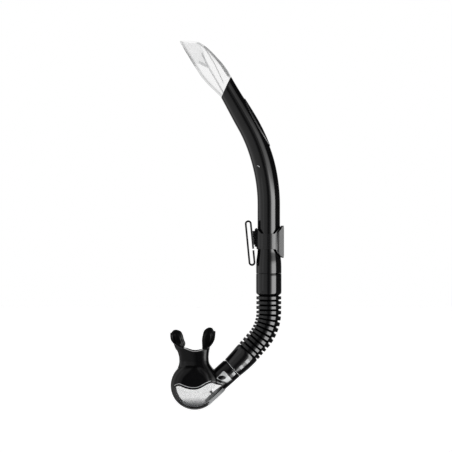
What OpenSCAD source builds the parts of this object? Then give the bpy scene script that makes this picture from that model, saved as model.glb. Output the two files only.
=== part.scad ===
// Snorkel: rigid barrel with a clear splash guard, a strap keeper, a ribbed flexible hose and a swivelling
// mouthpiece chamber with a purge valve. All sizes in millimetres.
// Origin: middle of the mask strap slot. +Z up the barrel, X across the side view, +Y the thin way.

/* [Barrel] */
// outer radius of the breathing tube
barrel_r = 13; // [11:0.1:15]
// wall thickness of the barrel
barrel_wall = 1.8; // [1.2:0.1:3]
// length of the straight lower part
barrel_straight = 78.5; // [60:0.5:100]
// radius of the bend of the barrel's axis
bend_r = 190; // [150:1:240]
// angle the barrel is bent through
bend_deg = 30; // [10:1:45]
// straight length above the bend, to the middle of the slanted end
top_len = 47.2; // [30:0.1:70]
// outer radius at the slanted end
top_r = 11; // [9:0.1:13]
// slant of the open end
top_slant = 35; // [0:1:45]
// outer radius of the swollen foot that meets the hose
foot_r = 14.65; // [13:0.05:17]

/* [Splash guard] */
// wall thickness of the clear guard
guard_wall = 1.6; // [1:0.1:3]
// thickness of the fins of the baffle
fin_t = 1.4; // [1:0.1:3]

/* [Keeper] */
// running clearance between the sliding pieces
run_gap = 0.05; // [0.03:0.01:0.1]
// thickness of the grip liner
liner_t = 1.05; // [0.8:0.05:2]
// thickness of the collar
collar_t = 2.15; // [1.5:0.05:3]
// depth of the collar's strap loop, along the mask strap
loop_depth = 16; // [10:1:25]
// clear width of the strap loop
loop_gap = 3.7; // [2:0.1:6]
// thickness of the loop's strip
loop_t = 2.1; // [1.5:0.1:3]

/* [Hose] */
// outer radius of the ribs
rib_r = 14.4; // [13:0.1:17]
// outer radius between the ribs
groove_r = 11.6; // [10:0.1:13]
// bore radius of the hose
hose_bore = 10.2; // [8:0.1:12]
// number of ribs
rib_n = 13; // [8:1:18]
// width of a rib
rib_w = 3.3; // [2:0.1:5]
// radius of the hose's bend
hose_bend_r = 50; // [40:1:80]
// angle of the hose's bend
hose_bend_deg = 41; // [20:1:60]

/* [Chamber] */
// outer radius of the round chamber
bowl_r = 27.8; // [22:0.1:34]
// half of the chamber's thickness
bowl_half = 17; // [12:0.5:22]
// thickness of the outer frame
frame_t = 2.2; // [1.5:0.1:3]
// wall thickness of the clear chamber
chamber_wall = 1.8; // [1.2:0.1:3]
// radius of the short tube that runs to the hose
tube_r = 13; // [11:0.1:15]

/* [Purge valve] */
// radius of the purge cover
purge_r = 15.5; // [12:0.1:18]
// radius of the rubber flap
flap_r = 10.2; // [7:0.1:12]

/* [Hidden] */
$fn = 96;
e = 0.01;
axis_x = 21.5;             // barrel axis from the strap slot
slot_z = 35;               // strap slot above the hose joint
bore_r = barrel_r - barrel_wall;
cup_len = 14;              // socket for the hose coupling, each side
bend_end = [-bend_r + bend_r * cos(bend_deg), 0, barrel_straight + bend_r * sin(bend_deg)];
insert_r = top_r - 1.6;
liner_r = barrel_r + run_gap;
collar_r = liner_r + liner_t + run_gap;
collar_out = collar_r + collar_t;
rib_start = 24.7;          // length of the upper cuff
straight_top = 44;         // hose length before its bend
hose_tail = 16.8;          // straight ribbed length after the bend
arc_len = hose_bend_r * hose_bend_deg * PI / 180;
rib_pitch = (straight_top + arc_len + hose_tail - rib_start) / rib_n;
cuff_len = 25.9;           // lower cuff
cuff_turn = 7;
swivel_deg = hose_bend_deg + cuff_turn;
tail = [-hose_bend_r + hose_bend_r * cos(hose_bend_deg) - hose_tail * sin(hose_bend_deg), 0,
        -straight_top - hose_bend_r * sin(hose_bend_deg) - hose_tail * cos(hose_bend_deg)];
cuff_mid = hose_bend_deg + cuff_turn / 2;
seam = [tail[0] - cuff_len * sin(cuff_mid), 0, tail[2] - cuff_len * cos(cuff_mid)];
bowl = [-85, 0, -128.6];   // middle of the chamber
core_r = bowl_r - frame_t;
core_half = bowl_half - frame_t;
neck_x = -86;
neck_top = -92;
skirt_low = -100.2;
purge_deg = 41.35;         // tilt of the purge valve's axis from straight down
purge_side = 9;          // purge valve off the chamber's middle
seat_n = 20.5;             // purge seat height above the chamber's middle
cover_n = 23;              // underside of the purge cover
crescent = [[-107.9, -129.8], [-104.5, -127.4], [-101.4, -127.3], [-94.4, -130], [-86.5, -131.3],
            [-79.5, -130], [-71.5, -125.6], [-66.2, -123.9], [-60, -125.6], [-53, -129],
            [-62.8, -140.3], [-67.7, -146], [-77.1, -151.5], [-86.5, -152.9], [-94.4, -151.2],
            [-101.4, -146.4], [-106, -138.8]];
// the guard's left and right edges along the barrel's top axis, and half of its thickness
guard_l = [[-7.27, -10.4], [-3.5, -11.8], [0.7, -13], [11.2, -16.2], [23.2, -18.6], [34, -19.4],
           [47, -20], [60, -20.2], [72.4, -20.1]];
guard_r = [[7.43, 10.6], [11, 11], [15.3, 11], [24.5, 10.1], [32.3, 8.5], [40.1, 6.75],
           [47.4, 4.7], [53.8, 2.3], [59.3, -0.7]];
guard_y = [11.05, 11.7, 12.4, 13.2, 13.5, 13.4, 12.9, 12.1, 11];

// everything below is drawn about the barrel's axis at the hose joint
module placed() translate([axis_x, 0, -slot_z]) children();
// frame of the slanted top: Z along the upper axis, X away from the bend
module at_top(u = 0) translate(bend_end) rotate([0, -bend_deg, 0]) translate([0, 0, top_len + u]) children();
// frame of the swivel: Z along the lower tube, away from the hose
module at_swivel(s = 0) translate(seam) rotate([0, 180 + swivel_deg, 0]) translate([0, 0, s]) children();
// frame of the purge valve: Z outwards
module at_purge(n = 0) translate(bowl) rotate([0, 180 - purge_deg, 0])
    translate([-purge_side, 0, n]) children();
module tube(r1, r2, h) difference() { cylinder(r = r1, h = h); translate([0, 0, -1]) cylinder(r = r2, h = h + 2); }
// a bend in the XZ plane, starting at the origin along +Z and turning towards -X
module bend(r, big, deg) translate([-big, 0, 0]) rotate([90, 0, 0]) rotate_extrude(angle = deg)
    translate([big, 0]) circle(r = r);
// the same bend followed downwards
module bend_down(r, big, deg) mirror([0, 0, 1]) bend(r, big, deg);
// round disc with rounded rims, thin along Y
module puck(r, half, c) rotate([90, 0, 0]) rotate_extrude() union() {
    translate([0, -half]) square([r - c, 2 * half]);
    translate([0, -half + c]) square([r, 2 * (half - c)]);
    translate([r - c, half - c]) circle(r = c);
    translate([r - c, -half + c]) circle(r = c);
}
module stadium(r, spread) union() {
    translate([-spread, 0]) circle(r = r);
    translate([spread, 0]) circle(r = r);
    translate([-spread, -r]) square([2 * spread, 2 * r]);
}

// the barrel's run, r0 up to the bend and r1 at the slanted end; the upper cone starts a little inside the bend
module barrel_solid(r0, r1) union() {
    cylinder(r = r0, h = barrel_straight);
    translate([0, 0, barrel_straight]) bend(r0, bend_r, bend_deg);
    at_top(-top_len - 0.5) cylinder(r1 = r0 - 0.02, r2 = r1 - 0.2 * (r0 - r1), h = top_len + 11);
}
module barrel() color([0.02, 0.02, 0.02]) placed() difference() {
    union() {
        barrel_solid(barrel_r, top_r);
        cylinder(r = foot_r, h = 10);
        translate([0, 0, 10 - e]) cylinder(r1 = foot_r, r2 = barrel_r, h = 17);
    }
    barrel_solid(bore_r, top_r - 1.9);
    translate([0, 0, -1]) cylinder(r = 11.9, h = cup_len + 1);
    at_top(-16) cylinder(r = insert_r, h = 40);
    at_top(0) rotate([0, -top_slant, 0]) translate([-40, -40, 0]) cube([80, 80, 60]);
}

module inlay_outline() at_top(-top_len - 4) rotate([0, 4, 0]) rotate([0, 90, 0])
    linear_extrude(height = 40) intersection() {
        translate([0, 33]) circle(r = 41.5);
        translate([0, -33]) circle(r = 41.5);
    }
module barrel_inlay() color([0.03, 0.03, 0.03]) placed() intersection() {
    difference() {
        barrel_solid(barrel_r + 0.7, top_r + 0.7);
        barrel_solid(barrel_r, top_r);
    }
    inlay_outline();
}

// one ring of points of the guard, grown inwards by t
function guard_ring(k, t) = let(l = guard_l[k], r = guard_r[k], m = (l + r) / 2, d = r - l,
    a = norm(d) / 2, ax = d / norm(d))
    [for (i = [0:31]) let(q = i * 360 / 32)
        [m[1] + (a - t) * cos(q) * ax[1], (guard_y[k] - t) * sin(q), m[0] + (a - t) * cos(q) * ax[0]]];
module guard_skin() {
    rings = len(guard_l);
    outer = [for (k = [0:rings - 1]) each guard_ring(k, 0)];
    inner = [for (k = [0:rings - 1]) each guard_ring(k, guard_wall)];
    o = rings * 32;
    polyhedron(points = concat(outer, inner), faces = concat(
        [for (k = [0:rings - 2], i = [0:31]) let(j = (i + 1) % 32)
            [k * 32 + i, (k + 1) * 32 + i, (k + 1) * 32 + j, k * 32 + j]],
        [for (k = [0:rings - 2], i = [0:31]) let(j = (i + 1) % 32)
            [o + k * 32 + i, o + k * 32 + j, o + (k + 1) * 32 + j, o + (k + 1) * 32 + i]],
        [for (i = [0:31]) let(j = (i + 1) % 32) [i, j, o + j, o + i]],
        [for (i = [0:31]) let(j = (i + 1) % 32, b = (rings - 1) * 32) [b + i, o + b + i, o + b + j, b + j]]));
}
module splash_guard() color([0.9, 0.93, 0.95, 0.35]) placed() at_top(0) guard_skin();

module splash_baffle() color([0.85, 0.88, 0.9, 0.5]) placed() at_top(0) union() {
    difference() {
        translate([0, 0, -16]) tube(insert_r, insert_r - 1.3, 30);
        rotate([0, -top_slant, 0]) translate([-40, -40, -0.6]) cube([80, 80, 60]);
    }
    translate([-6.7, -5, -10]) cube([fin_t, 10, 41]);
    rotate([90, 0, 0]) linear_extrude(height = 18, center = true) union() {
        polygon([[-6.7, 5], [-5.3, 5], [-5.3, 30], [-4.1, 47.4], [-5.5, 47.6], [-6.7, 32]]);
        polygon([[-6.7, 29.5], [-5.6, 31.2], [-12.1, 40.6], [-13.3, 39.6]]);
    }
}

module keeper_liner() color([0.05, 0.05, 0.05]) placed() difference() {
    translate([0, 0, 28.1]) tube(liner_r + liner_t, liner_r, 17.9);
    translate([-8.5, 5, 20]) cube([17, 20, 40]);
}

module keeper_outline() rotate([90, 0, 0]) linear_extrude(height = 60, center = true)
    polygon([[-18, 30.8], [-15, 30.8], [-10.8, 28.1], [7, 28.1], [13.6, 19.2], [18, 18.2],
             [18, 55], [14.2, 55], [6.5, 46], [-9, 46], [-14.4, 52.6], [-18, 49]]);
module keeper_collar() color([0.03, 0.03, 0.03]) placed() union() {
    intersection() {
        difference() {
            translate([0, 0, 15]) tube(collar_out, collar_r, 45);
            translate([-10, 5, 10]) cube([20, 20, 60]);
        }
        keeper_outline();
    }
    difference() {
        translate([collar_r + 0.05, -8, 18.2]) cube([2.8, 16, 36.8]);
        translate([0, 0, 10]) cylinder(r = collar_r, h = 60);
    }
}

module strap_loop() color([0.03, 0.03, 0.03]) placed() difference() {
    union() {
        translate([-21.5, 0, slot_z]) rotate([0, -5.5, 0]) rotate([90, 0, 0])
            linear_extrude(height = loop_depth, center = true) difference() {
                rotate(90) stadium(loop_gap / 2 + loop_t, 26.2 - loop_gap / 2 - loop_t);
                rotate(90) stadium(loop_gap / 2, 26.2 - loop_gap / 2 - loop_t);
                translate([0, -8.6]) square([10, 1.8]);
            }
        difference() {
            translate([-19.6, -3.5, 33]) cube([5, 7, 16]);
            translate([-21.5, 0, slot_z]) rotate([0, -5.5, 0]) translate([-10, -10, -40])
                cube([10 + loop_gap / 2 + 0.4, 20, 80]);
        }
    }
    translate([0, 0, 0]) cylinder(r = collar_out, h = 80);
}

module hose_coupling() color([0.08, 0.08, 0.08]) placed() translate([0, 0, -18]) tube(11.9, 10.4, 18 + cup_len);

module rib(w) rotate_extrude() union() {
    translate([0, -w / 2]) square([rib_r - 0.9, w]);
    translate([0, -w / 2 + 0.9]) square([rib_r, w - 1.8]);
    translate([rib_r - 0.9, w / 2 - 0.9]) circle(r = 0.9);
    translate([rib_r - 0.9, -w / 2 + 0.9]) circle(r = 0.9);
}
// places its children square to the hose's axis, s along it from the upper joint
module on_hose(s) {
    if (s <= straight_top) translate([0, 0, -s]) children();
    else if (s <= straight_top + arc_len) translate([-hose_bend_r, 0, -straight_top])
        rotate([0, (s - straight_top) / arc_len * hose_bend_deg, 0]) translate([hose_bend_r, 0, 0]) children();
    else translate([tail[0], 0, tail[2]]) rotate([0, hose_bend_deg, 0])
        translate([0, 0, straight_top + arc_len + hose_tail - s]) children();
}
module hose_line(r) union() {
    translate([0, 0, -straight_top]) cylinder(r = r, h = straight_top);
    translate([0, 0, -straight_top]) bend_down(r, hose_bend_r, hose_bend_deg);
    translate(tail) rotate([0, hose_bend_deg, 0]) cylinder(r = r - 0.02, h = hose_tail + 0.5);
}
module hose() color([0.02, 0.02, 0.02]) placed() difference() {
    union() {
        hose_line(groove_r);
        translate([0, 0, -rib_start + 2]) cylinder(r = foot_r, h = rib_start - 2);
        translate([0, 0, -rib_start]) cylinder(r1 = foot_r - 1.6, r2 = foot_r, h = 2);
        for (i = [0:rib_n - 1]) on_hose(rib_start + (i + 0.62) * rib_pitch) rib(rib_w);
        difference() {
            translate(tail) rotate([0, cuff_mid, 0]) translate([0, 0, -cuff_len - 3])
                cylinder(r1 = 12.8, r2 = 14.3, h = cuff_len + 3.5);
            at_swivel(0) translate([-30, -30, 0]) cube([60, 60, 20]);
        }
    }
    hose_line(hose_bore);
    translate([0, 0, -18]) cylinder(r = 11.9, h = 19);
    translate(tail) rotate([0, cuff_mid, 0]) translate([0, 0, -cuff_len - 5]) cylinder(r = hose_bore + 0.4, h = cuff_len + 6);
    at_swivel(-17) cylinder(r = 11.4, h = 20);
}

module swivel_ring() color([0.1, 0.1, 0.1]) placed() at_swivel(-14) difference() {
    cylinder(r = 11.4, h = 13.9);
    translate([0, 0, -1]) cylinder(r = 9.65, h = 20);
    translate([0, 0, 6]) tube(10.85, 5, 2);
}
module swivel_oring() color([0.04, 0.04, 0.04]) placed() at_swivel(-7) rotate_extrude() translate([10.25, 0])
    intersection() { circle(r = 0.65); square([1.16, 2], center = true); }

module neck(r, spread, low, top) translate([neck_x, 0, low]) linear_extrude(height = top - low) stadium(r, spread);
module tube_run(r) at_swivel(0.35) cylinder(r = r, h = 26);

module chamber() color([0.85, 0.88, 0.9, 0.4]) placed() difference() {
    union() {
        translate(bowl) puck(core_r, core_half, 12.5);
        neck(10, 4.5, -116, neck_top);
        at_swivel(0.35) cylinder(r = tube_r - 2, h = 30);
        at_swivel(-15.3) cylinder(r = 9.6, h = 20);
        at_swivel(-15.6) cylinder(r = 10.5, h = 1.3);
        at_purge(10) cylinder(r = purge_r - 1.6, h = cover_n - 10);
    }
    translate(bowl) puck(core_r - chamber_wall, core_half - chamber_wall, 11);
    neck(8.4, 4.5, -118, neck_top + 2);
    at_swivel(-20) cylinder(r = 8.1, h = 50);
    at_purge(8) cylinder(r = 11, h = 20);
    at_purge(seat_n) cylinder(r = 12.5, h = 20);
    at_purge(cover_n) cylinder(r = purge_r, h = 20);
}

module diamond() rotate([90, 0, 0]) linear_extrude(height = 60, center = true)
    polygon([[-51.3, -110.2], [-42.1, -120.3], [-47.7, -124.7], [-61, -119.4]]);
module window_cut() rotate([90, 0, 0]) linear_extrude(height = 60, center = true) polygon(crescent);

module chamber_frame() color([0.03, 0.03, 0.03]) placed() difference() {
    union() {
        translate(bowl) puck(bowl_r, bowl_half, 13.5);
        intersection() {
            neck(12.5, 11, -120, skirt_low);
            rotate([90, 0, 0]) linear_extrude(height = 60, center = true) polygon([[-103.25, -99],
                [-103.3, -103.6], [-104.4, -108], [-106.8, -112], [-62, -112], [-65.6, -107.5],
                [-68, -103.6], [-68.75, -99]]);
        }
        at_swivel(0.35) cylinder(r = tube_r, h = 27);
        at_purge(10) cylinder(r = purge_r, h = cover_n - 10);
    }
    translate(bowl) puck(core_r, core_half, 12.5);
    neck(10, 4.5, -118, skirt_low + 2);
    at_swivel(-1) cylinder(r = tube_r - 2, h = 32);
    at_purge(8) cylinder(r = purge_r - 1.6, h = 30);
    at_purge(cover_n) cylinder(r = purge_r, h = 20);
    window_cut();
}

module window_pane(side) intersection() {
    difference() {
        translate(bowl) puck(bowl_r, bowl_half, 13.5);
        translate(bowl) puck(core_r, core_half, 12.5);
        at_purge(8) cylinder(r = purge_r, h = 30);
        at_swivel(0.35) cylinder(r = tube_r - 2, h = 31);
    }
    window_cut();
    translate([-150, side < 0 ? -40 : 2, -200]) cube([150, 38, 150]);
}
module window_front() color([0.9, 0.92, 0.94, 0.35]) placed() window_pane(-1);
module window_rear() color([0.9, 0.92, 0.94, 0.35]) placed() window_pane(1);

module badge(side) intersection() {
    difference() {
        at_swivel(0.35) tube(tube_r + 0.5, tube_r, 24);
        translate(bowl) puck(bowl_r, bowl_half, 13.5);
    }
    diamond();
    translate([-150, side < 0 ? -40 : 2, -200]) cube([150, 38, 150]);
}
module badge_front() color([0.75, 0.77, 0.78]) placed() badge(-1);
module badge_rear() color([0.75, 0.77, 0.78]) placed() badge(1);

// bite tab outline, a lug that leans outwards
module tab(x, side) translate([x, -74.5]) mirror([side, 0]) polygon([[-8.4, 3.4], [-7.2, 8.2],
    [-3, 10.2], [2, 8.6], [4.8, 4.4], [6, -0.6], [7.9, -6], [6.4, -10], [3.6, -13.5], [-3, -13.5],
    [-6, -4.4], [-7.8, 0]]);
module mouthpiece() color([0.03, 0.03, 0.03]) placed() difference() {
    union() {
        neck(12.5, 4.75, skirt_low, -89);
        intersection() {
            rotate([90, 0, 0]) linear_extrude(height = 40, center = true) polygon([[-113.4, -70], [-112.8,
                -76], [-110, -82.6], [-105.6, -88], [-103.2, -94], [-68.8, -94], [-68, -88], [-64.2, -82],
                [-61.8, -75], [-61.4, -68], [-62.9, -68], [-63.5, -75], [-66, -81.4], [-70.4, -85.6],
                [-77, -88.6], [-86, -89.9], [-95, -88.6], [-103, -85.8], [-108.4, -81.6], [-111.2, -75.6],
                [-111.8, -70]]);
            translate([-87.4, 0, -100]) cylinder(r = 29, h = 40);
            translate([-120, -14, -100]) cube([70, 28, 40]);
        }
        rotate([90, 0, 0]) linear_extrude(height = 6, center = true) { tab(-104.2, 0); tab(-69.8, 1); }
    }
    neck(10, 4.5, -120, neck_top);
    neck(8.4, 1.2, -120, -60);
}

module purge_seat() color([0.12, 0.12, 0.12]) placed() at_purge(seat_n) difference() {
    cylinder(r = 12.5, h = 1.6);
    for (k = [0:3]) rotate([0, 0, 90 * k + 10]) intersection() {
        translate([0, 0, -1]) tube(9.2, 3, 4);
        translate([0.9, 0.9, -1]) cube([12, 12, 4]);
    }
    translate([0, 0, -1]) cylinder(r = 1.26, h = 4);
}
module purge_diaphragm() color([0.07, 0.07, 0.07]) placed() at_purge(seat_n) union() {
    translate([0, 0, 1.65]) cylinder(r = flap_r, h = 0.9);
    translate([0, 0, -2.4]) cylinder(r = 1.2, h = 4.5);
    translate([0, 0, -4.2]) cylinder(r1 = 1.2, r2 = 1.9, h = 2.2);
}
module purge_cover() color([0.4, 0.42, 0.43]) placed() at_purge(cover_n) difference() {
    union() {
        cylinder(r = purge_r, h = 3);
        translate([0, 0, 3 - e]) cylinder(r1 = purge_r, r2 = purge_r - 1, h = 0.8);
    }
    translate([0, 0, -1]) cylinder(r = purge_r - 1.8, h = 3.4);
    for (i = [-3:3]) translate([i * 3.6 - 0.9, -8.5, 0]) cube([1.8, 17, 6]);
}

barrel();
barrel_inlay();
splash_guard();
splash_baffle();
keeper_liner();
keeper_collar();
strap_loop();
hose_coupling();
hose();
swivel_ring();
swivel_oring();
chamber();
chamber_frame();
mouthpiece();
window_front();
window_rear();
badge_front();
badge_rear();
purge_seat();
purge_diaphragm();
purge_cover();
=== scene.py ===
import bpy, bmesh, math
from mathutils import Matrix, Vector


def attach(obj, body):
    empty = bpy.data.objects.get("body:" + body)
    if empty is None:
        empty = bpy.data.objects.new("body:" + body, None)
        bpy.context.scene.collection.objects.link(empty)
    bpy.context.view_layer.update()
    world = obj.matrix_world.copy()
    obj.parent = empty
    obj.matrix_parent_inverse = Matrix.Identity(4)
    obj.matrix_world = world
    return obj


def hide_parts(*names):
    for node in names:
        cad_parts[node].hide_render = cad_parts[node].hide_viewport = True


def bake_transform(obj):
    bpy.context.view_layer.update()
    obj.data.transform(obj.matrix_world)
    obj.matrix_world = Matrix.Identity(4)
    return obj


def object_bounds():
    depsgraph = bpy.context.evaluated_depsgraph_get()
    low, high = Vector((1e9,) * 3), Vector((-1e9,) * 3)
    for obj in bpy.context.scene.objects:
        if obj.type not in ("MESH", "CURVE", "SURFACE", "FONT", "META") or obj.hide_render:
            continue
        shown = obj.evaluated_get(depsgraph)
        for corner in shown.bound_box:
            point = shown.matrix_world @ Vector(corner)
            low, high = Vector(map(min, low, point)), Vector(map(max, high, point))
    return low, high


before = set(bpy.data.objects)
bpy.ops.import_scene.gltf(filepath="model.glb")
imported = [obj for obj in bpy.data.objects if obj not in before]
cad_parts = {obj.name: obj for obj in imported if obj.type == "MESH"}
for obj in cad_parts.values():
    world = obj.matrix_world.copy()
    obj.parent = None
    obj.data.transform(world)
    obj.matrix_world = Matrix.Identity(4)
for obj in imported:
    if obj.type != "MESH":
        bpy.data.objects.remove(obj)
lo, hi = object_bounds()

# Sizes are in mm up to P, which turns them into the frame's metres. X runs to the right, Z up and Y away from
# the camera. The origin is on the barrel's axis, where the hose joins it.
MM = 0.001
OX, OZ = 21.5, -35.0          # the origin, seen from the strap slot


def P(x, y, z):
    """A place in the frame, in metres."""
    return Vector(((x + OX) * MM, y * MM, (z + OZ) * MM))


def angles(n):
    return [2 * math.pi * i / n for i in range(n)]


# ---------------------------------------------------------------- meshes
def mesh(name, verts, faces, smooth=True):
    me = bpy.data.meshes.new(name)
    me.from_pydata([tuple(v) for v in verts], [], faces)
    me.validate(clean_customdata=False)
    ob = bpy.data.objects.new(name, me)
    bpy.context.scene.collection.objects.link(ob)
    bm = bmesh.new()
    bm.from_mesh(me)
    bmesh.ops.recalc_face_normals(bm, faces=bm.faces[:])
    bm.to_mesh(me)
    bm.free()
    for p in me.polygons:
        p.use_smooth = smooth
    return ob


def loft(name, rings, closed=False):
    """Joins rings of equal point count; closed joins the last ring to the first, else both ends are capped."""
    n = len(rings[0])
    verts = [v for r in rings for v in r]
    faces = []
    m = len(rings)
    for k in range(m if closed else m - 1):
        a, b = k * n, ((k + 1) % m) * n
        for i in range(n):
            j = (i + 1) % n
            faces.append((a + i, a + j, b + j, b + i))
    if not closed:
        faces.append(tuple(range(n - 1, -1, -1)))
        faces.append(tuple((m - 1) * n + i for i in range(n)))
    return mesh(name, verts, faces)


def between(name, near, far):
    """The flat-shaded solid between two outlines of equal point count."""
    n = len(near)
    faces = [tuple(range(n)), tuple(range(2 * n - 1, n - 1, -1))]
    faces += [(i, (i + 1) % n, n + (i + 1) % n, n + i) for i in range(n)]
    return mesh(name, near + far, faces, False)


def extrude_xz(name, pts, y0, y1, bevel=0.0):
    """An outline in the XZ plane given depth along Y."""
    ob = between(name, [P(x, y0, z) for x, z in pts], [P(x, y1, z) for x, z in pts])
    if bevel:
        add_bevel(ob, bevel, 4)
    return ob


def extrude_xy(name, pts, z0, z1):
    """An outline in the XY plane carried from z0 up to z1."""
    return between(name, [P(x, y, z0) for x, y in pts], [P(x, y, z1) for x, y in pts])


def box(name, x0, x1, y0, y1, z0, z1):
    return extrude_xz(name, [(x0, z0), (x1, z0), (x1, z1), (x0, z1)], y0, y1)


def lerp(a, b, t):
    return a + (b - a) * t


def table(pts, x):
    """Smooth interpolation through (x, value) pairs."""
    if x <= pts[0][0]:
        return pts[0][1]
    for (x0, y0), (x1, y1) in zip(pts, pts[1:]):
        if x <= x1:
            t = (x - x0) / (x1 - x0)
            return lerp(y0, y1, t * t * (3 - 2 * t))
    return pts[-1][1]


def spline(a, b, c, d, f):
    """Catmull-Rom point between b and c."""
    return tuple(0.5 * (2 * q + (r - p) * f + (2 * p - 5 * q + 4 * r - s) * f * f + (3 * q - p - 3 * r + s) * f ** 3)
                 for p, q, r, s in zip(a, b, c, d))


def catmull(pts, t):
    """Smooth curve through an open row of points, t from 0 to 1."""
    n = len(pts) - 1
    f = min(max(t, 0), 1) * n
    k = min(int(f), n - 1)
    return spline(pts[max(k - 1, 0)], pts[k], pts[k + 1], pts[min(k + 2, n)], f - k)


def smooth_loop(pts, per=6):
    """Smooth closed curve through pts, per points to each span."""
    n = len(pts)
    return [spline(pts[i - 1], pts[i], pts[(i + 1) % n], pts[(i + 2) % n], k / per)
            for i in range(n) for k in range(per)]


def tube_along(name, pts, r, closed=True, n=12):
    """A round bead along 3D points (metres)."""
    m = len(pts)
    rings = []
    for i in range(m):
        a = pts[(i - 1) % m] if closed or i else pts[i]
        b = pts[(i + 1) % m] if closed or i < m - 1 else pts[i]
        t = (b - a).normalized()
        side = t.cross(Vector((0, 1, 0))).normalized()
        up = side.cross(t).normalized()
        rings.append([pts[i] + (side * math.cos(q) + up * math.sin(q)) * r * MM for q in angles(n)])
    return loft(name, rings, closed=closed)


def join(name, *obs):
    for o in bpy.context.selected_objects:
        o.select_set(False)
    for o in obs:
        o.select_set(True)
    bpy.context.view_layer.objects.active = obs[0]
    bpy.ops.object.join()
    obs[0].name = name
    return obs[0]


def smooth_by_angle(ob, deg):
    me = ob.data
    me.polygons.foreach_set("use_smooth", [True] * len(me.polygons))
    bm = bmesh.new()
    bm.from_mesh(me)
    lim = math.radians(deg)
    for ed in bm.edges:
        ed.smooth = not (len(ed.link_faces) == 2 and ed.calc_face_angle(0) > lim)
    bm.to_mesh(me)
    bm.free()


def apply_all(ob):
    dg = bpy.context.evaluated_depsgraph_get()
    me = bpy.data.meshes.new_from_object(ob.evaluated_get(dg))
    old = ob.data
    ob.modifiers.clear()
    ob.data = me
    bpy.data.meshes.remove(old)


def add_bevel(ob, width, segs):
    m = ob.modifiers.new("round", "BEVEL")
    m.width = width * MM
    m.segments = segs
    m.limit_method = "ANGLE"
    m.angle_limit = math.radians(30)
    m.harden_normals = False
    apply_all(ob)


def remesh(ob, voxel, smooth):
    m = ob.modifiers.new("vox", "REMESH")
    m.mode = "VOXEL"
    m.voxel_size = voxel * MM
    m.use_smooth_shade = True
    m = ob.modifiers.new("soft", "SMOOTH")
    m.factor = 0.5
    m.iterations = smooth
    apply_all(ob)
    return ob


def cut(ob, tool, op="DIFFERENCE"):
    m = ob.modifiers.new("cut", "BOOLEAN")
    m.object, m.operation, m.solver = tool, op, "EXACT"
    apply_all(ob)
    bpy.data.objects.remove(tool)


# ---------------------------------------------------------------- barrel
# bend radius, straight length below the bend, bend angle in degrees, straight length above it
BR, BS, BD, TL = 190.0, 78.5, 30.0, 47.2
ARC = BR * math.radians(BD)
TOP = BS + ARC + TL
SLANT = math.tan(math.radians(35))      # of the cut at the top end
WALL = 1.8                              # thickness
# radius in the side view and in depth, by the distance along the axis
FOOT = [(0, 14.65), (9, 14.65), (13, 14.4), (26, 13.05), (31, 13.0), (120, 13.0)]
R_X = FOOT + [(175, 12.3), (TOP, 11.0)]
R_Y = FOOT + [(175, 12.6), (TOP, 11.4)]


def barrel_at(s):
    """Point and tangent angle (degrees to the left of straight up) of the barrel's axis, s mm along it."""
    if s <= BS:
        return 0.0, s, 0.0
    if s <= BS + ARC:
        a = (s - BS) / BR
        return -BR + BR * math.cos(a), BS + BR * math.sin(a), math.degrees(a)
    a = math.radians(BD)
    x, z = -BR + BR * math.cos(a), BS + BR * math.sin(a)
    t = s - BS - ARC
    return x - t * math.sin(a), z + t * math.cos(a), BD


def barrel_point(s, q, dr=0.0):
    x, z, a = barrel_at(s)
    a = math.radians(a)
    rx, ry = table(R_X, s) + dr, table(R_Y, s) + dr
    u, v = rx * math.cos(q), ry * math.sin(q)
    return P(x + u * math.cos(a), v, z + u * math.sin(a))


def barrel_ring(s, dr=0.0, slant=0.0, n=128):
    """A ring round the barrel, dr outside its surface; slant 1 tilts it fully to the cut of the top end."""
    out = []
    for q in angles(n):
        ss = s + slant * SLANT * (table(R_X, s) + dr) * math.cos(q)
        out.append(barrel_point(ss, q, dr))
    return out


def flat_ring(r, z, n=128):
    return [P(r * math.cos(q), r * math.sin(q), z) for q in angles(n)]


def build_barrel():
    rings = [barrel_ring(0.25, -2.2), barrel_ring(0.05, -0.5), barrel_ring(0.25, -0.15), barrel_ring(0.7, 0)]
    s = 2.0
    while s < TOP - 14:
        rings.append(barrel_ring(s))
        s += 3.0
    for k in range(1, 9):
        t = k / 8
        rings.append(barrel_ring(lerp(s - 3.0, TOP - 0.3, t), 0, t))
    rings.append(barrel_ring(TOP - 0.05, -0.3, 1))
    rings.append(barrel_ring(TOP - 0.05, -1.4, 1))
    rings.append(barrel_ring(TOP - 2, -1.7, 1))
    rings.append(barrel_ring(TOP - 15, -1.75, 0.4))
    s = TOP - 20
    while s > 16:
        rings.append(barrel_ring(s, -WALL))
        s -= 10
    rings += [flat_ring(11.0, 14.2), flat_ring(12.2, 0.25)]      # the socket for the coupling
    return loft("Barrel", rings, closed=True)


INLAY_LOW, INLAY_HIGH = 143.0, 203.5      # ends along the axis
INLAY_H = 0.85                            # height of the dome


def inlay_half(t):
    """Half the inlay's width as an angle round the barrel, t from 0 to 1 along it."""
    return 0.78 * (1 - abs(2 * t - 1) ** 2.2) ** 0.62


def build_inlay():
    """Raised lens on the outer side of the bend: a domed patch with a stepped rim."""
    rows, cols = 60, 30
    verts, faces = [], []
    for i in range(rows + 1):
        t = i / rows
        w = inlay_half(t) if 0 < i < rows else 0.004
        for j in range(cols + 1):
            v = 2 * j / cols - 1
            edge = min(1 - abs(v), 0.5) / 0.12
            tip = min(t, 1 - t) / 0.02
            h = INLAY_H * min(1, edge, tip) ** 0.6
            verts.append(barrel_point(lerp(INLAY_LOW, INLAY_HIGH, t), v * w, h))
    for i in range(rows):
        for j in range(cols):
            a = i * (cols + 1) + j
            faces.append((a, a + 1, a + cols + 2, a + cols + 1))
    return mesh("Inlay", verts, faces)


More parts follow.
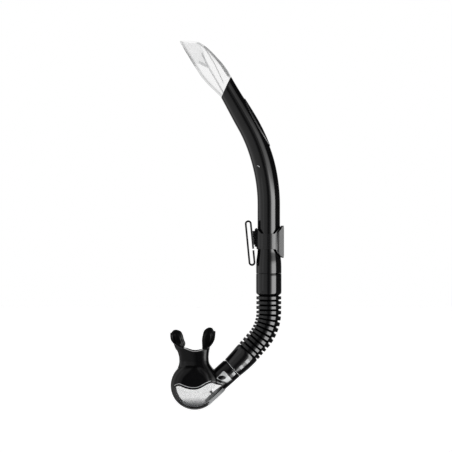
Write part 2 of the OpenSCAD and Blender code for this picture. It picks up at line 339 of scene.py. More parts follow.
def build_inlay_highlight():
    """A painted highlight: the pale line along the inlay's front edge."""
    rows = 40
    line = [barrel_point(lerp(INLAY_LOW, INLAY_HIGH, k / rows), -inlay_half(k / rows), 0.1) for k in range(1, rows)]
    return tube_along("InlayEdgeHighlight", line, 0.2, closed=False)


def build_nib():
    line = [barrel_point(s, q, 0.12) for s, q in ((126.2, -2.2), (125.3, -2.1), (124.3, -2.04), (123.6, -2.04))]
    return tube_along("BarrelNib", line, 0.42, closed=False)


# ---------------------------------------------------------------- splash guard
# left edge and right edge in the top frame (u, n), and half the depth, from the barrel to the open end
GL = [(-7.7, -10.4), (-3.5, -11.8), (0.7, -13), (11.2, -16.2), (23.2, -18.6), (34, -19.4), (47, -20),
      (60, -20.2), (72.4, -20.1)]
GR = [(7.3, 10.9), (11, 11), (15.3, 11), (24.5, 10.1), (32.3, 8.5), (40.1, 6.75), (47.4, 4.7),
      (53.8, 2.3), (59.3, -0.7)]
GY = [11.3, 11.8, 12.5, 13.2, 13.5, 13.4, 12.9, 12.1, 11]
# outlines of the strips inside it, in the top frame
BACK_WALL = [(9, 8.6), (8.4, 9.6), (9.4, 10.2), (15.3, 10.6), (24.5, 9.7), (32.3, 8.1), (40.1, 6.35), (47.4, 4.3),
             (53.4, 2.0), (53.4, 1.6), (47.4, 3.1), (40.1, 4.9), (32.3, 6.0), (24.5, 6.9), (15.3, 7.2), (10.4, 7.6)]
FRONT_LIP = [(38, -19.1), (52.6, -19.8), (64, -19.9), (64, -19.2), (52.6, -19.0), (38, -18.4)]
THIN_RIB = [(6, 0.2), (30, 2.2), (53, 1.4), (53, 0.9), (30, 1.6), (6, -0.4)]
# and of a translucent grey sheet in the side view, which paints the shade inside the guard
SHADE_SHEET = [(-101.0, 266.2), (-80.5, 264.4), (-74.5, 255.4), (-71.5, 238), (-78.4, 240.6), (-86.7, 242.5),
          (-95.2, 255.4)]


def top_point(u, n, y):
    """u along the top axis past the slanted end, n away from the bend."""
    a = math.radians(BD)
    x, z, _ = barrel_at(TOP)
    return P(x - u * math.sin(a) + n * math.cos(a), y, z + u * math.cos(a) + n * math.sin(a))


def guard_ring(t, thick, n=128):
    l, r = catmull(GL, t), catmull(GR, t)
    b = catmull([(v,) for v in GY], t)[0]
    mu, mn = (l[0] + r[0]) / 2, (l[1] + r[1]) / 2
    du, dn = (r[0] - l[0]) / 2, (r[1] - l[1]) / 2
    a = math.hypot(du, dn)
    out = []
    for q in angles(n):
        k = (a - thick) / a * math.cos(q)
        out.append(top_point(mu + du * k, mn + dn * k, (b - thick) * math.sin(q)))
    return out


def build_guard():
    rows = 48
    ends = (0, rows)
    rings = [guard_ring(k / rows, 0.25 if k in ends else 0) for k in range(rows + 1)]
    rings += [guard_ring(k / rows, 1.75 if k in ends else 1.6) for k in range(rows, -1, -1)]
    return loft("SplashGuard", rings, closed=True)


def top_strip(name, pts, y):
    """A flat strip given in the top frame (u, n), extruded along Y."""
    ob = between(name, [top_point(u, v, -y) for u, v in pts], [top_point(u, v, y) for u, v in pts])
    add_bevel(ob, 0.25, 2)
    return ob


# ---------------------------------------------------------------- hose
# radius and angle in degrees of the first bend, straight lengths above and below it, radius and angle of the last
HR, HD, ST, TAIL, CR, CD = 50.0, 41.0, 44.0, 16.8, 212.0, 7.0
A1 = HR * math.radians(HD)
L1 = ST + A1 + TAIL                       # where the lower cuff starts
L2 = L1 + CR * math.radians(CD)           # the swivel seam
CUFF, RIBS = 24.7, 13                     # length of the upper cuff, number of ribs
CUFF_R, GROOVE_R, LOW_R, BORE_R, SOCKET_R = 14.68, 11.0, 14.35, 10.3, 12.0
CREST = [(-1.92, 12.9), (-1.8, 14.15), (-1.55, 14.43), (0, 14.45), (1.55, 14.43), (1.8, 14.15), (1.92, 12.9)]


def hose_at(s):
    """Point and angle from straight down of the hose's axis."""
    if s <= ST:
        return 0.0, -s, 0.0
    if s <= ST + A1:
        a = (s - ST) / HR
        return -HR + HR * math.cos(a), -ST - HR * math.sin(a), a
    a = math.radians(HD)
    x, z = -HR + HR * math.cos(a), -ST - HR * math.sin(a)
    if s <= L1:
        t = s - ST - A1
        return x - t * math.sin(a), z - t * math.cos(a), a
    x, z = x - TAIL * math.sin(a), z - TAIL * math.cos(a)
    b = (s - L1) / CR
    cx, cz = x - CR * math.cos(a), z + CR * math.sin(a)
    return cx + CR * math.cos(a + b), cz - CR * math.sin(a + b), a + b


def hose_ring(s, r, n=112):
    x, z, a = hose_at(s)
    return [P(x + r * math.cos(q) * math.cos(a), r * math.sin(q), z - r * math.cos(q) * math.sin(a))
            for q in angles(n)]


def hose_profile():
    """Distance along the axis and radius: down the outside, then back up the bore."""
    pts = [(0.25, 12.4), (0.05, 14.1), (0.2, 14.5), (0.8, CUFF_R)]
    pts += [(s, CUFF_R) for s in (4, 8, 12, 16, 19, 21.2)]
    pts += [(22.2, 14.55), (23.1, 14.2), (23.8, 13.6), (24.3, 12.8), (24.8, 12.0)]
    pitch = (L1 - CUFF) / RIBS
    for i in range(RIBS):
        c = CUFF + (i + 0.58) * pitch
        pts.append((c - pitch * 0.5, GROOVE_R))
        pts += [(c + ds, r) for ds, r in CREST]
    pts.append((L1 + 0.2, 11.4))
    pts += [(L1 + 0.6, 13.2), (L1 + 1.2, 13.9), (L1 + 2.2, 14.25), (L1 + 4, LOW_R)]
    for k in range(1, 9):
        pts.append((lerp(L1 + 4, L2 - 1.0, k / 8), lerp(LOW_R, 13.05, (k / 8) ** 1.3)))
    pts += [(L2 - 0.35, 12.95), (L2 - 0.05, 12.6), (L2 - 0.05, 11.6)]
    pts += [(L2 - 16.5, 11.6), (L2 - 17, BORE_R)]
    s = L2 - 22
    while s > 20:
        pts.append((s, BORE_R))
        s -= 5
    return pts + [(18.5, BORE_R), (18.2, SOCKET_R), (0.25, SOCKET_R)]


def build_hose():
    ob = loft("Hose", [hose_ring(s, r) for s, r in hose_profile()], closed=True)
    smooth_by_angle(ob, 30)
    return ob


def build_wing():
    """The flared thumb wing on the keeper's right side."""
    side_view = [(15.8, 55.0), (17.2, 52.9), (17.2, 19.9), (16.5, 18.6), (12.9, 20.8), (9.2, 26.5), (7.4, 28.0),
                 (7.4, 45.2), (10, 46.4), (13.6, 50.7)]
    ob = extrude_xz("KeeperWing", side_view, -16, 16)
    half = [(0, 15.6), (7, 14.8), (10, 13.2), (12.7, 10.9), (17.4, 8.7)]
    xy = [(x, -y) for x, y in half] + [(x, y) for x, y in reversed(half)]
    cut(ob, extrude_xy("w", xy, 5, 70), "INTERSECT")
    bore = 13.5
    cut(ob, extrude_xy("c", [(bore * math.cos(q), bore * math.sin(q)) for q in angles(96)], 0, 75))
    smooth_by_angle(ob, 30)
    add_bevel(ob, 0.35, 2)
    return ob


# ---------------------------------------------------------------- mouth unit
BX, BZ, BOWL_R, BOWL_H, CORNER = -85.0, -128.6, 27.8, 17.0, 13.5      # middle, radius, half depth, rounded corner
TUBE_R = 13.0                                                         # of the lower tube
SEAM_X, SEAM_Z, _ = hose_at(L2)
SWIVEL = math.radians(48)
AX, AZ = -math.sin(SWIVEL), -math.cos(SWIVEL)                         # direction of the swivel axis
PURGE = math.radians(41.35)                                           # of the purge valve's axis from straight down
PURGE_SIDE = 9                                                        # how far that axis passes the bowl's middle
NECK_X, NECK_SPREAD = -86, 4.5                                        # middle and half length of the neck's bore
NECK_SQUARE, NECK_SKEW = 2 / 2.4, 0.4
MOUTH_CUT = -100.15                                                   # lower end of the mouthpiece
# outline of the window in the side view
CRESCENT = [(-107.9, -129.8), (-104.5, -127.4), (-101.4, -127.3), (-94.4, -130), (-86.5, -131.3), (-79.5, -130),
            (-71.5, -125.6), (-66.2, -123.9), (-60, -125.6), (-53, -129), (-62.8, -140.3), (-67.7, -146),
            (-77.1, -151.5), (-86.5, -152.9), (-94.4, -151.2), (-101.4, -146.4), (-106, -138.8)]
# height, left edge, right edge and half depth of the neck
NECK = [(-124, -112, -56, 16.6), (-118, -109.9, -58, 16.2), (-110.6, -105.8, -62.9, 15.0),
        (-107, -104.3, -65.6, 14.2), (-103.6, -103.2, -67.9, 13.5), (-100, -102.9, -68.8, 13.0),
        (-96, -103.2, -69.0, 12.7), (-92, -104.2, -68.7, 12.9), (-89, -105.3, -68.3, 13.2),
        (-86.6, -106.4, -67.8, 13.4)]
# middle line of the flange and outlines of the bite tabs in the side view
FLANGE = [(-112.5, -68.0), (-112.1, -74.5), (-109.2, -79.2), (-103.8, -82.7), (-96.5, -86.0), (-86.2, -89.3),
          (-76.6, -87.8), (-69.2, -84.2), (-64.9, -79.6), (-62.6, -74.0), (-62.0, -66.0)]
TAB_L = [(-112.2, -71.6), (-111.1, -66.5), (-107, -64.5), (-101.4, -66.3), (-98.9, -70.4), (-97.6, -75.4),
         (-95.8, -80.6), (-97.4, -84.6), (-99.6, -88), (-106, -88), (-109.8, -79.7), (-111.7, -74.8)]
TAB_R = [(-75.9, -70.4), (-74.1, -65.2), (-69.1, -62), (-64.6, -63.2), (-62.8, -69.1), (-63.8, -76.7),
         (-67.2, -83.6), (-70.6, -88), (-76, -88), (-76.6, -82), (-76.9, -76.7)]


def ring_about_y(cx, cz, r, y, n=96):
    return [P(cx + r * math.cos(q), y, cz + r * math.sin(q)) for q in angles(n)]


def bowl_rings(r, half, c):
    """A puck of radius r and half depth half with corners rounded by c."""
    prof = [(2.0, -half)]
    prof += [(r - c + c * math.sin(q), -half + c - c * math.cos(q)) for q in [math.pi / 2 * k / 8 for k in range(9)]]
    prof += [(r - c + c * math.cos(q), half - c + c * math.sin(q)) for q in [math.pi / 2 * k / 8 for k in range(9)]]
    prof += [(2.0, half)]
    return [ring_about_y(BX, BZ, a, y) for a, y in prof]


def swivel_pt(s, u, v):
    """s along the lower tube from the joint, u across it in the side view, v along Y."""
    return P(SEAM_X + s * AX + u * AZ, v, SEAM_Z + s * AZ - u * AX)


def swivel_ring(s, r, n=96):
    return [swivel_pt(s, r * math.cos(q), r * math.sin(q)) for q in angles(n)]


def neck_ring(z, n=96):
    k = max(i for i in range(len(NECK)) if NECK[i][0] <= z + 1e-9)
    k = min(k, len(NECK) - 2)
    t = (z - NECK[k][0]) / (NECK[k + 1][0] - NECK[k][0])
    l, r, b = (lerp(NECK[k][j], NECK[k + 1][j], t) for j in (1, 2, 3))
    a, cx = (r - l) / 2, (r + l) / 2
    out = []
    for q in angles(n):
        c, s = math.cos(q), math.sin(q)
        c = math.copysign(abs(c) ** NECK_SQUARE, c)
        out.append(P(cx + a * (c + NECK_SKEW * (1 - c * c)), b * math.copysign(abs(s) ** NECK_SQUARE, s), z))
    return out


def bore_ring(z, r, spread, n=64):
    return [P(NECK_X + (spread if math.cos(q) > 0 else -spread) + r * math.cos(q), r * math.sin(q), z)
            for q in angles(n)]


def purge_pt(n, t, y):
    """n outwards along the purge valve's axis, t along its face in the side view, from the bowl's middle."""
    t += PURGE_SIDE
    return P(BX + n * math.sin(PURGE) + t * math.cos(PURGE), y, BZ - n * math.cos(PURGE) + t * math.sin(PURGE))


def purge_ring(n, r, k=72):
    return [purge_pt(n, r * math.cos(q), r * math.sin(q)) for q in angles(k)]


def build_frame():
    bowl = loft("FrameBody", bowl_rings(BOWL_R, BOWL_H, CORNER))
    neck = loft("n", [neck_ring(-124 + k * 1.15) for k in range(31)])
    steps = ((0.4, 12.4), (0.75, 12.9), (1.4, TUBE_R), (8, TUBE_R), (18, TUBE_R), (30, 12.6))
    tube = loft("t", [swivel_ring(s, r) for s, r in steps])
    ob = remesh(join("FrameBody", bowl, neck, tube), 0.62, 9)
    cut(ob, box("k", -130, -40, -40, 40, -100.25, -60))
    cut(ob, extrude_xz("c", smooth_loop(CRESCENT), -40, 40))
    cut(ob, loft("p", [purge_ring(n, 15.5) for n in (23, 40)]))
    cut(ob, loft("q", [purge_ring(n, 12.7) for n in (19.8, 24.5)]))
    cut(ob, loft("i", bowl_rings(25.55, 14.75, 12.5)))
    cut(ob, loft("b", [swivel_ring(s, 11.0, 64) for s in (-2, 26)]))
    cut(ob, loft("b", [bore_ring(z, 10, NECK_SPREAD) for z in (-112, -98)]))
    smooth_by_angle(ob, 40)
    return ob


def across_tube(x, z):
    """Distance from the lower tube's axis in the side view, with its sign."""
    return (x - SEAM_X) * AZ - (z - SEAM_Z) * AX


def bowl_depth(x, z, extra):
    """Distance of the frame's face from the XZ plane."""
    r = math.hypot(x - BX, z - BZ)
    if r < BOWL_R - CORNER:
        d = BOWL_H
    elif r < BOWL_R:
        d = BOWL_H - CORNER + math.sqrt(max(0, CORNER * CORNER - (r - BOWL_R + CORNER) ** 2))
    else:
        d = 0
    off = abs(across_tube(x, z))
    if off < TUBE_R:
        d = max(d, math.sqrt(TUBE_R * TUBE_R - off * off))
    return max(d, 4) + extra


def badge_depth(x, z):
    """Face of the lower tube, lifted a little where it runs into the bowl."""
    off = across_tube(x, z)
    return math.sqrt(max(TUBE_R * TUBE_R - off * off, 4)) + 0.45 + 1.1 * min(1, max(0, (-50 - x) / 9)) ** 1.5


def build_bead(side):
    pts = [P(x, side * bowl_depth(x, z, 0.1), z) for x, z in smooth_loop(CRESCENT, 8)]
    return tube_along("WindowRim", pts, 0.8)


def build_rim_highlight(side):
    """A painted highlight: the pale line that follows the window's wavy upper edge."""
    per, spans, above = 8, 9, 1.7
    row = [(x, z + above) for x, z in smooth_loop(CRESCENT, per)[:per * spans]]
    return tube_along("WindowRimHighlight", [P(x, side * bowl_depth(x, z, 0.05), z) for x, z in row], 0.36, closed=False)


def build_badge(side):
    """Plain pale plaque on the lower tube, with a dark border and a plain oval dimple."""
    corners = [(-51.5, -109.7), (-41.7, -120.8), (-48.0, -125.0), (-61.2, -119.9)]
    cx, cz = sum(c[0] for c in corners) / 4, sum(c[1] for c in corners) / 4

    def outline(k):
        out = []
        for (x0, z0), (x1, z1) in zip(corners, corners[1:] + corners[:1]):
            for f in (0.1, 0.2, 0.5, 0.8, 0.9):
                x, z = lerp(x0, x1, f), lerp(z0, z1, f)
                out.append((cx + (x - cx) * k, cz + (z - cz) * k))
        return out

    def oval(k):
        return [(-53.9 + 4.5 * k * math.cos(q) + 0.5 * k * math.sin(q),
                 -118.6 + 2.4 * k * math.sin(q) - 0.3 * k * math.cos(q)) for q in angles(32)]

    def lift(pts, h):
        return [P(x, side * (badge_depth(x, z) + h), z) for x, z in pts]

    rim = tube_along("BadgeRim", lift(outline(1.0), -0.1), 0.85)
    plate = loft("Badge", [lift(outline(k), h)
                           for k, h in ((0.98, -2.0), (0.98, 0.2), (0.9, 0.45), (0.5, 0.5), (0.04, 0.5))])
    dimple = loft("BadgeDimple", [lift(oval(k), 0.52 + 0.15 * (1 - k) + (0.1 if k < 1 else 0))
                                  for k in (1.0, 0.8, 0.05)])
    return plate, rim, dimple


def flange_rings():
    rows, half_depth, half_thick = 44, 14.0, 0.95
    out = []
    for k in range(rows + 1):
        t = k / rows
        c = catmull(FLANGE, t)
        d0, d1 = catmull(FLANGE, t - 0.01), catmull(FLANGE, t + 0.01)
        tx, tz = d1[0] - d0[0], d1[1] - d0[1]
        length = math.hypot(tx, tz)
        nx, nz = -tz / length, tx / length
        v = abs(2 * t - 1)
        hy = max(half_depth * (1 - v ** 3.2) ** 0.5 if v < 1 else 0, 1.2)
        out.append([P(c[0] + nx * half_thick * math.sin(q), hy * math.cos(q), c[1] + nz * half_thick * math.sin(q))
                    for q in angles(40)])
    return out


def build_mouthpiece():
    zs = [-116, -110, -106, -103, -100.2, -98, -96, -94, -92, -90, -88.6, -86.6, -84.4, -81.5]
    neck = loft("Mouthpiece", [neck_ring(z) for z in zs])
    cut(neck, extrude_xz("k", FLANGE[1:-1] + [(-60, -60), (-114, -60)], -40, 40))
    parts = [neck, loft("f", flange_rings())]
    for outline in (TAB_L, TAB_R):
        tab = smooth_loop(outline, 4)
        parts.append(extrude_xz("tab", tab, -3.6, 3.6, bevel=1.6))
        cx = sum(x for x, z in outline) / len(outline)
        lug = [(cx + (x - cx) * 0.62, -74 + (z + 74) * 0.62 - 1) for x, z in tab]
        parts.append(extrude_xz("lug", lug, -5.2, 5.2, bevel=1.6))
    ob = remesh(join("Mouthpiece", *parts), 0.5, 5)
    cut(ob, box("k", -130, -40, -40, 40, -130, MOUTH_CUT))
    cut(ob, loft("b", [bore_ring(z, 8.4, 1.2) for z in (-120, -60)]))
    cut(ob, loft("b", [bore_ring(z, 10, NECK_SPREAD) for z in (-120, -92)]))
    smooth_by_angle(ob, 45)
    return ob


def on_cuff(s, q, h):
    """h above the hose's lower cuff, q round it from the front."""
    x, z, a = hose_at(s)
    r = LOW_R + h - 1.3 * max(0, (s - L1 - 4) / (L2 - L1 - 5)) ** 1.3
    u = r * math.sin(q)
    return P(x + u * math.cos(a), -r * math.cos(q), z - u * math.sin(a))


def on_swivel(s, q, h):
    """h above the lower tube, q round it from the front."""
    r = TUBE_R + h
    return swivel_pt(s, -r * math.sin(q), -r * math.cos(q))


def highlight_pad(name, s0, s1, at):
    """A low moulded block between two places along the tube that the function at describes; its pale colour paints
    the highlight blocks.
    """
    q0, q1 = 0.28, 0.62
    rings = []
    for h, inset in ((-0.5, 0.0), (0.12, 0.0), (0.3, 0.22), (0.32, 0.6)):
        loop = []
        for a, b in ((0, 0), (0.5, 0), (1, 0), (1, 0.5), (1, 1), (0.5, 1), (0, 1), (0, 0.5)):
            loop.append(at(lerp(s0 + inset, s1 - inset, a), lerp(q0 + inset / 14, q1 - inset / 14, b), h))
        rings.append(loop)
    return loft(name, rings)


# ---------------------------------------------------------------- materials
def tree_tools(tree):
    """A function that makes a node, with inputs set by name, and one that links two sockets."""
    def new(kind, inputs=(), **settings):
        n = tree.nodes.new(kind)
        for k, v in settings.items():
            setattr(n, k, v)
        for k, v in dict(inputs).items():
            n.inputs[k].default_value = v
        return n
    return new, tree.links.new


def mat(name, color, rough, bump=0.0, scale=60.0, vary=0.04, bevel=0.0, alpha=1.0, tint=0.1, spec=0.5,
        edge=None, fade=None):
    """Grained plastic: colour varies by tint and roughness by vary. edge is the opacity where the surface turns
    away; fade is (low height, high height, colour, opacity) of a band that ends in colour and opacity below."""
    m = bpy.data.materials.new(name)
    m.use_nodes = True
    new, link = tree_tools(m.node_tree)
    bs = next(n for n in m.node_tree.nodes if n.type == "BSDF_PRINCIPLED")
    tc = new("ShaderNodeTexCoord")
    nz = new("ShaderNodeTexNoise", {"Scale": scale, "Detail": 5})
    link(tc.outputs["Object"], nz.inputs["Vector"])
    cr = new("ShaderNodeValToRGB")
    low, high = cr.color_ramp.elements
    low.position, high.position = 0.3, 0.7
    low.color = (*[c * (1 - tint) for c in color], 1)
    high.color = (*[min(1, c * (1 + tint)) for c in color], 1)
    link(nz.outputs["Fac"], cr.inputs["Fac"])
    link(cr.outputs["Color"], bs.inputs["Base Color"])
    mr = new("ShaderNodeMapRange", {"To Min": max(0.0, rough - vary), "To Max": rough + vary})
    link(nz.outputs["Fac"], mr.inputs["Value"])
    link(mr.outputs["Result"], bs.inputs["Roughness"])
    bs.inputs["IOR"].default_value = 1.5
    bs.inputs["Specular IOR Level"].default_value = spec
    bs.inputs["Alpha"].default_value = alpha
    if fade:
        z0, z1, dark, thick = fade
        sp = new("ShaderNodeSeparateXYZ")
        link(tc.outputs["Object"], sp.inputs[0])
        fz = new("ShaderNodeMapRange", {"From Min": z0 * MM, "From Max": z1 * MM}, interpolation_type="SMOOTHSTEP")
        link(sp.outputs["Z"], fz.inputs["Value"])
        mx = new("ShaderNodeMix", data_type="RGBA")
        mx.inputs["A"].default_value = (*dark, 1)
        link(fz.outputs["Result"], mx.inputs["Factor"])
        link(cr.outputs["Color"], mx.inputs["B"])
        link(mx.outputs["Result"], bs.inputs["Base Color"])
        fa = new("ShaderNodeMapRange", {"To Min": thick, "To Max": alpha})
        link(fz.outputs["Result"], fa.inputs["Value"])
        link(fa.outputs["Result"], bs.inputs["Alpha"])
    if edge:
        lw = new("ShaderNodeLayerWeight", {"Blend": 0.35})
        er = new("ShaderNodeMapRange", {"From Min": 0.25, "From Max": 1.0, "To Min": alpha, "To Max": edge})
        link(lw.outputs["Facing"], er.inputs["Value"])
        link(er.outputs["Result"], bs.inputs["Alpha"])
    normal = None
    if bevel:
        normal = new("ShaderNodeBevel", {"Radius": bevel * MM}, samples=6).outputs["Normal"]
    if bump:
        n2 = new("ShaderNodeTexNoise", {"Scale": scale * 12, "Detail": 3})
        link(tc.outputs["Object"], n2.inputs["Vector"])
        bp = new("ShaderNodeBump", {"Strength": bump, "Distance": 0.0004})
        link(n2.outputs["Fac"], bp.inputs["Height"])
        if normal:
            link(normal, bp.inputs["Normal"])
        normal = bp.outputs["Normal"]
    if normal:
        link(normal, bs.inputs["Normal"])
    return m


M = {
    "black": mat("BlackGloss", (0.004, 0.004, 0.0044), 0.07, bump=0.012, scale=40, vary=0.02),
    "inlay": mat("InlayGloss", (0.006, 0.006, 0.0065), 0.12, bump=0.02, scale=50, vary=0.03),
    "clear": mat("ClearGuard", (0.22, 0.225, 0.23), 0.05, scale=30, vary=0.02, tint=0.05, alpha=0.03, edge=0.5),
    "rib": mat("GuardRib", (0.22, 0.225, 0.23), 0.15, scale=40, vary=0.03, tint=0.08, alpha=0.42),
    "baffle": mat("ClearBaffle", (0.3, 0.31, 0.32), 0.12, scale=60, vary=0.03, tint=0.05, alpha=0.3),
    "liner": mat("LinerGrip", (0.02, 0.02, 0.02), 0.6, bump=0.3, scale=120, vary=0.08, bevel=0.25),
    "keeper": mat("KeeperBlack", (0.008, 0.008, 0.0085), 0.13, bump=0.02, scale=70, vary=0.03, bevel=0.8),
    "coupling": mat("CouplingBlack", (0.03, 0.03, 0.03), 0.5, bump=0.1, scale=80, vary=0.06, bevel=0.3),
    "hose": mat("HoseSilicone", (0.004, 0.004, 0.0044), 0.05, bump=0.02, scale=60, vary=0.02),
    "ring": mat("RingPlastic", (0.04, 0.04, 0.04), 0.45, bump=0.1, scale=90, vary=0.05, bevel=0.3),
    "oring": mat("ORingRubber", (0.015, 0.015, 0.015), 0.55, bump=0.1, scale=90, vary=0.05),
    # the chamber turns dark and nearly opaque towards the bottom: painted shade of its inside
    "chamber": mat("ClearChamber", (0.42, 0.43, 0.44), 0.16, scale=500, vary=0.05, tint=0.4, alpha=0.05,
                   fade=(-190.2, -187.4, (0.006, 0.006, 0.006), 0.95)),
    "frame": mat("FrameBlack", (0.003, 0.003, 0.0033), 0.07, bump=0.015, scale=60, vary=0.02, spec=0.28),
    "mouth": mat("MouthSilicone", (0.003, 0.003, 0.0033), 0.12, bump=0.03, scale=80, vary=0.03, spec=0.2),
    # the window turns darker and more opaque towards the bottom: painted shade of the chamber's inside
    "window": mat("ClearWindow", (0.42, 0.43, 0.44), 0.08, scale=700, vary=0.04, tint=0.4, alpha=0.07, bevel=0.5,
                  fade=(-187.5, -178.5, (0.1, 0.1, 0.105), 0.62)),
    "badge": mat("BadgeGrey", (0.5, 0.51, 0.515), 0.2, bump=0.02, scale=60, vary=0.05),
    "wing": mat("WingBlack", (0.012, 0.012, 0.0125), 0.2, bump=0.02, scale=70, vary=0.03, spec=0.34),
    # a faint grey that paints the shade inside the splash guard
    "guard_shade": mat("GuardShadeSheet", (0.4, 0.41, 0.42), 0.15, scale=40, vary=0.03, tint=0.05, alpha=0.085),
    # a pale grey that paints the highlight along the inlay's front edge
    "edge": mat("InlayEdgeHighlight", (0.1, 0.1, 0.103), 0.3, bump=0.02, scale=60, vary=0.05),
    # pale grey that paints the highlight blocks on the cuff and the lower tube
    "highlight_pad": mat("HighlightPad", (0.3, 0.305, 0.31), 0.2, bump=0.02, scale=60, vary=0.05),
    "seat": mat("SeatPlastic", (0.14, 0.145, 0.15), 0.4, bump=0.05, scale=80, vary=0.05, bevel=0.3),
    "flap": mat("FlapSilicone", (0.3, 0.305, 0.31), 0.4, bump=0.05, scale=80, vary=0.05),
    "cover": mat("CoverGrey", (0.3, 0.305, 0.31), 0.25, bump=0.05, scale=80, vary=0.05, bevel=0.4),
}
NODE_MATS = {
    "barrel": "black", "barrel_inlay": "inlay", "splash_guard": "clear", "splash_baffle": "baffle",
    "keeper_liner": "liner", "keeper_collar": "keeper", "strap_loop": "keeper", "hose_coupling": "coupling",
    "hose": "hose", "swivel_ring": "ring", "swivel_oring": "oring", "chamber": "chamber", "chamber_frame": "frame",
    "mouthpiece": "mouth", "window_front": "window", "window_rear": "window", "badge_front": "badge",
    "badge_rear": "badge", "purge_seat": "seat", "purge_diaphragm": "flap", "purge_cover": "cover",
}
for node, key in NODE_MATS.items():
    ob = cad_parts[node]
    if not ob.material_slots:
        ob.data.materials.append(M[key])
    for sl in ob.material_slots:
        sl.material = M[key]


# ---------------------------------------------------------------- pieces
def piece(ob, key, body, slot, *nodes):
    ob.data.materials.clear()
    ob.data.materials.append(M[key])
    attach(ob, body)
    if nodes:
        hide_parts(*nodes)


piece(build_barrel(), "black", "barrel", "black_gloss", "barrel")
piece(build_inlay(), "inlay", "barrel", "inlay_gloss", "barrel_inlay")
# the highlight along the inlay's front edge, painted as a pale bead
piece(build_inlay_highlight(), "edge", "barrel", "inlay_gloss")
piece(build_nib(), "badge", "barrel", "black_gloss")
piece(build_guard(), "clear", "barrel", "clear_guard", "splash_guard")
for name, outline, half in (("GuardBackWall", BACK_WALL, 5), ("GuardFrontLip", FRONT_LIP, 7),
                            ("GuardRib", THIN_RIB, 8)):
    piece(top_strip(name, outline, half), "rib", "barrel", "clear_guard")
# a translucent grey sheet of painted shade inside the splash guard
piece(extrude_xz("GuardShadeSheet", SHADE_SHEET, -0.5, 0.5), "guard_shade", "barrel", "clear_guard")
hose = build_hose()
hose.data.materials.append(M["hose"])
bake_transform(hose)
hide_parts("hose")
# raised moulded blocks whose pale colour paints the highlight blocks on the cuff and the lower tube
piece(highlight_pad("CuffHighlightPadUpper", L1 + 6.2, L1 + 11.2, on_cuff), "highlight_pad", "hose_end", "badge_grey")
piece(highlight_pad("CuffHighlightPadLower", L1 + 16.0, L1 + 20.4, on_cuff), "highlight_pad", "hose_end", "badge_grey")
piece(highlight_pad("SwivelHighlightPad", 1.6, 5.6, on_swivel), "highlight_pad", "mouth_unit", "badge_grey")
seam = [swivel_ring(s, r) for s, r in ((-0.1, 12.7), (-0.1, 13.12), (0.35, 13.16), (0.35, 12.7))]
piece(loft("SeamRing", seam, closed=True), "badge", "mouth_unit", "badge_grey")
piece(build_wing(), "wing", "keeper", "keeper_black")
disc = [purge_ring(n, r) for n, r in ((25.2, 15.2), (25.75, 15.2), (26.02, 14.7), (26.04, 12.9), (25.2, 12.9))]
piece(loft("PurgeRim", disc, closed=True), "frame", "mouth_unit", "cover_grey")
piece(build_frame(), "frame", "mouth_unit", "frame_black", "chamber_frame")
piece(build_mouthpiece(), "mouth", "mouth_unit", "mouth_silicone", "mouthpiece")
for side in (-1, 1):
    piece(build_bead(side), "frame", "mouth_unit", "frame_black")
    # a pale bead that paints the highlight along the window's upper rim
    piece(build_rim_highlight(side), "badge", "mouth_unit", "badge_grey")
    plate, rim, dimple = build_badge(side)
    piece(plate, "badge", "mouth_unit", "badge_grey", "badge_front" if side < 0 else "badge_rear")
    piece(rim, "frame", "mouth_unit", "frame_black")
    piece(dimple, "frame", "mouth_unit", "frame_black")


# ---------------------------------------------------------------- stage, light, camera
def build_floor(half, z, grey, glow):
    me = bpy.data.meshes.new("Floor")
    me.from_pydata([(-half, -half, 0), (half, -half, 0), (half, half, 0), (-half, half, 0)], [], [(0, 1, 2, 3)])
    ob = bpy.data.objects.new("Floor", me)
    bpy.context.scene.collection.objects.link(ob)
    ob.location = (0, 0, z)
    m = bpy.data.materials.new("Floor")
    m.use_nodes = True
    bs = next(n for n in m.node_tree.nodes if n.type == "BSDF_PRINCIPLED")
    for socket, value in (("Base Color", (grey, grey, grey, 1)), ("Roughness", 0.9), ("Specular IOR Level", 0.0),
                          ("Emission Color", (grey, grey, grey, 1)), ("Emission Strength", glow)):
        bs.inputs[socket].default_value = value
    me.materials.append(m)
    ob.visible_glossy = False


def area(name, loc, size, energy):
    """A soft light aimed at the middle of the object."""
    li = bpy.data.lights.new(name, "AREA")
    li.shape = "RECTANGLE"
    li.size, li.size_y = size
    li.energy = energy
    ob = bpy.data.objects.new(name, li)
    bpy.context.scene.collection.objects.link(ob)
    ob.location = loc
    ob.rotation_euler = (CEN - Vector(loc)).to_track_quat("-Z", "Y").to_euler()


CEN = P(-49.2, 0, 54.6)
build_floor(7, lo[2] - 0.22, 0.93, 0.78)

# A studio drawn round the object. Brightness by the angle round it: 0 faces the camera's side, positive towards +X.
STUDIO = [(-180, 0.9), (-155, 0.9), (-150, 0.12), (-125, 0.25), (-112, 0.95), (-72, 0.6), (-30, 0.5), (-20, 0.42),
          (-10, 0.05), (6, 0.06), (20, 1.2), (30, 7.6), (64, 7.6), (69, 0.03), (148, 0.03), (153, 0.9), (180, 0.9)]
BRIGHTEST = 8          # a colour ramp stops at 1, so the angles are stored as shares of this
# By height on the right: the big soft box hangs low, and only a weak one stands above it.
ELEVATION = [(-1, 0.06), (-0.82, 0.06), (-0.7, 1), (0.06, 1), (0.15, 0.3), (0.26, 0.22), (0.42, 0.12), (0.54, 0.08),
             (1, 0.05)]

world = bpy.data.worlds.new("Studio")
bpy.context.scene.world = world
world.use_nodes = True
new, link = tree_tools(world.node_tree)
bg = next(n for n in world.node_tree.nodes if n.type == "BACKGROUND")
bg.inputs["Color"].default_value = (1, 1, 1, 1)


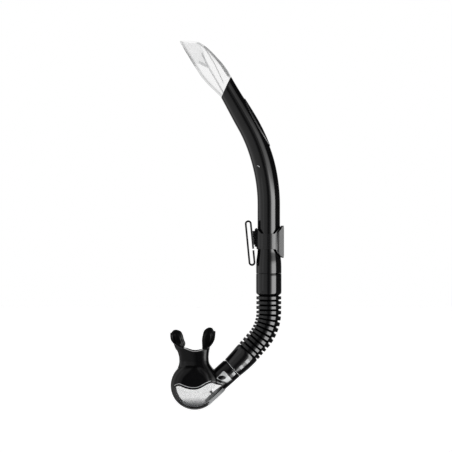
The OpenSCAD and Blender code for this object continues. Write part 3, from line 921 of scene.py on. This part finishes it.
def grey_ramp(stops, fac):
    """Grey levels at places from 0 to 1, read at fac."""
    n = new("ShaderNodeValToRGB")
    els = n.color_ramp.elements
    els.remove(els[-1])
    for i, (place, v) in enumerate(stops):
        el = els[0] if i == 0 else els.new(place)
        el.position = place
        el.color = (v, v, v, 1)
    link(fac, n.inputs["Fac"])
    return n.outputs["Color"]


def maths(operation, a, b):
    """b is another socket or a number."""
    n = new("ShaderNodeMath", operation=operation)
    link(a, n.inputs[0])
    if isinstance(b, (int, float)):
        n.inputs[1].default_value = b
    else:
        link(b, n.inputs[1])
    return n.outputs[0]


def mapped(value, inputs, **settings):
    n = new("ShaderNodeMapRange", inputs, **settings)
    link(value, n.inputs["Value"])
    return n.outputs["Result"]


direction = new("ShaderNodeSeparateXYZ")
link(new("ShaderNodeTexCoord").outputs["Generated"], direction.inputs[0])
dx, dy, dz = (direction.outputs[k] for k in "XYZ")
round_it = maths("ARCTAN2", dx, maths("MULTIPLY", dy, -1))
around = grey_ramp([((deg + 180) / 360, v / BRIGHTEST) for deg, v in STUDIO],
                   mapped(round_it, {"From Min": -math.pi, "From Max": math.pi}))
# on the left the light only fades towards straight up and straight down
left = mapped(maths("ABSOLUTE", dz, 0), {"From Min": 0.72, "From Max": 0.93, "To Min": 1.0, "To Max": 0.06},
              interpolation_type="SMOOTHSTEP")
right = grey_ramp([((h + 1) / 2, v) for h, v in ELEVATION], mapped(dz, {"From Min": -1}))
height = new("ShaderNodeMix", data_type="FLOAT")
link(mapped(dx, {"From Min": 0.1, "From Max": 0.3}, interpolation_type="SMOOTHSTEP"), height.inputs["Factor"])
link(left, height.inputs["A"])
link(right, height.inputs["B"])
lit = maths("MULTIPLY", maths("MULTIPLY", around, BRIGHTEST), height.outputs["Result"])
# the camera itself sees plain white behind the object
backdrop = new("ShaderNodeMix", data_type="FLOAT")
link(new("ShaderNodeLightPath").outputs["Is Camera Ray"], backdrop.inputs["Factor"])
link(lit, backdrop.inputs["A"])
backdrop.inputs["B"].default_value = 1.0
link(backdrop.outputs["Result"], bg.inputs["Strength"])

area("Key", (CEN.x + 1.25, -1.1, CEN.z + 0.1), (0.5, 1.4), 1.2)
area("Fill", (CEN.x - 1.4, -0.9, CEN.z + 0.5), (0.6, 1.4), 0.6)

LENS, SENSOR, VIEW_WIDTH = 135, 36, 0.5198      # mm, mm, metres seen across the picture
cam_data = bpy.data.cameras.new("Camera")
cam_data.lens, cam_data.sensor_width = LENS, SENSOR
cam = bpy.data.objects.new("Camera", cam_data)
bpy.context.scene.collection.objects.link(cam)
cam.location = (CEN.x, -VIEW_WIDTH * LENS / SENSOR, CEN.z)
cam.rotation_euler = (math.pi / 2, 0, 0)
bpy.context.scene.camera = cam
cam_data.dof.use_dof = False
bpy.context.scene.view_settings.view_transform = "Standard"
